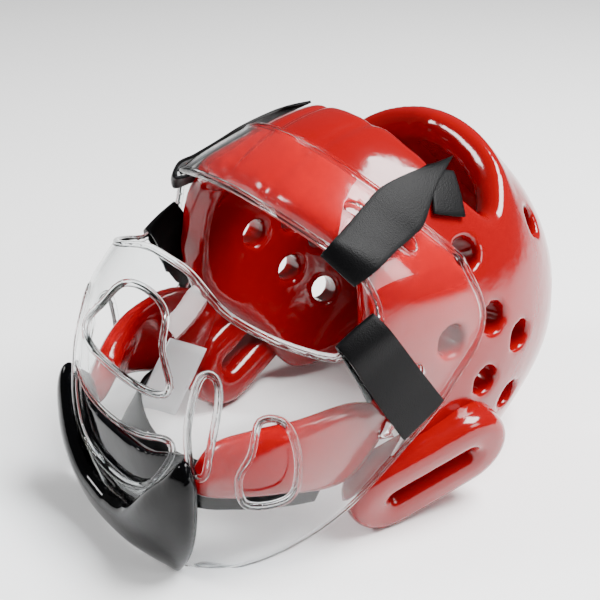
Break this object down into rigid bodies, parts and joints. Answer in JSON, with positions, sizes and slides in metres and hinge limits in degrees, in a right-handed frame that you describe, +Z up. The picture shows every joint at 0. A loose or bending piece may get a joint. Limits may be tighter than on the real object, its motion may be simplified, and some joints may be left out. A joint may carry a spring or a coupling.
{
  "type": "karate head guard",
  "caption": "Karate head guard: vented red foam cap with an open crown, ear guards and jaw wings, and a clear face shield on black straps with a chin pad.",
  "frame": {"origin": "middle of the footprint, on the surface the head guard lies on", "axes": "-Y to the wearer's front (the shield), +X to the wearer's left, +Z up; the head guard is tipped back and lies on its chin and ear guards"},
  "size_m": [0.2218, 0.3084, 0.2114],
  "materials": {
    "red_foam": "gloss",
    "clear_plastic": "gloss",
    "black_foam": "gloss",
    "black_webbing": "matte",
    "label_cloth": "matte"
  },
  "bodies": {
    "root": {"helmet_shell": "red_foam", "ear_guard_left": "red_foam", "ear_guard_right": "red_foam", "jaw_wing_left": "red_foam", "jaw_wing_right": "red_foam", "face_shield": "clear_plastic", "chin_pad": "black_foam", "chin_cup": "black_foam", "strap_upper_left": "black_webbing", "strap_upper_right": "black_webbing", "strap_lower_left": "black_webbing", "strap_lower_right": "black_webbing", "strap_patch_left": "black_webbing", "strap_patch_right": "black_webbing", "chin_strap": "black_webbing", "inner_label": "label_cloth"}
  },
  "joints": []
}
